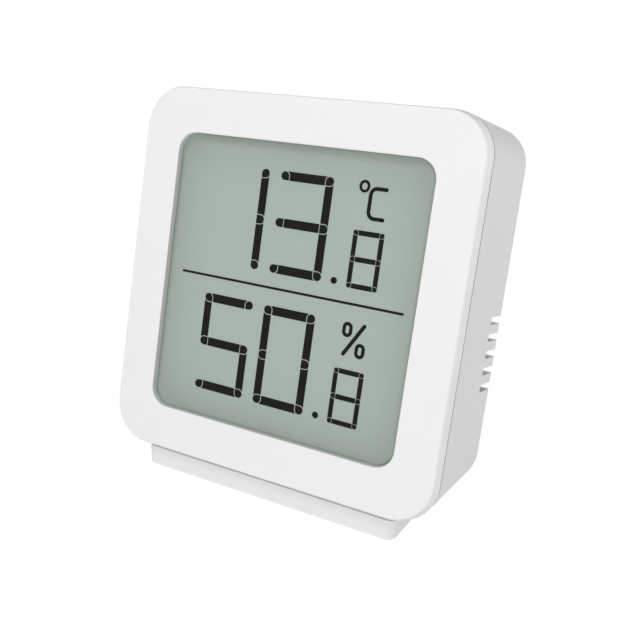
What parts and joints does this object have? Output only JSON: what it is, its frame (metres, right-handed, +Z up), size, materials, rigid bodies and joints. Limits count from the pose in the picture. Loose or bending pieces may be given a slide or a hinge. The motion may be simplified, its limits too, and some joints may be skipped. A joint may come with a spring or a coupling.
{
  "type": "temperature and humidity sensor",
  "caption": "Desk temperature and humidity sensor: square white case leaning back on a wedge foot, segment display, side vents, sliding battery door and pairing button.",
  "frame": {"origin": "centre of the anti-slip pad's lower face, on the table", "axes": "+Z up, display towards -Y, +X to the right of someone reading the display"},
  "size_m": [0.06, 0.0385, 0.0659],
  "materials": {
    "shell_white": "satin",
    "foam_grey": "matte",
    "display_film": "satin",
    "display_glass": "gloss",
    "reflector_foil": "satin",
    "inner_white": "matte",
    "zebra_rubber": "matte",
    "board_green": "satin",
    "screw_steel": "satin",
    "shield_steel": "satin",
    "chip_black": "satin",
    "ceramic_tan": "matte",
    "switch_grey": "satin",
    "button_grey": "satin",
    "cell_wrap": "satin",
    "contact_nickel": "satin",
    "pad_rubber": "matte"
  },
  "bodies": {
    "case": {"front_bezel": "shell_white", "display_gasket": "foam_grey", "lcd_front_polarizer": "display_film", "lcd_front_glass": "display_glass", "lcd_rear_glass": "display_glass", "lcd_reflector": "reflector_foil", "lcd_carrier": "inner_white", "zebra_strip": "zebra_rubber", "main_board": "board_green", "board_screws": "screw_steel", "radio_module": "shield_steel", "driver_chip": "chip_black", "board_capacitors": "ceramic_tan", "sensor_board": "board_green", "sensor_chip": "chip_black", "switch_base": "switch_grey", "rear_housing": "shell_white", "housing_screws": "screw_steel", "battery_a": "cell_wrap", "battery_b": "cell_wrap", "contact_bridge": "contact_nickel", "contact_plus": "contact_nickel", "contact_minus": "contact_nickel", "stand_foot": "shell_white", "foot_screws": "screw_steel", "anti_slip_pad": "pad_rubber"},
    "door": {"battery_door": "shell_white"},
    "button": {"pair_button": "button_grey", "switch_plunger": "chip_black"}
  },
  "joints": [
    {"name": "door_slide", "type": "slide", "parent": "case", "child": "door", "axis": [0, 0.2334, 0.9724], "range_m": [0, 0.058]},
    {"name": "button_press", "type": "slide", "parent": "case", "child": "button", "axis": [0, -0.9724, 0.2334], "range_m": [0, 0.0003], "stiffness_N_per_m": 2000}
  ]
}
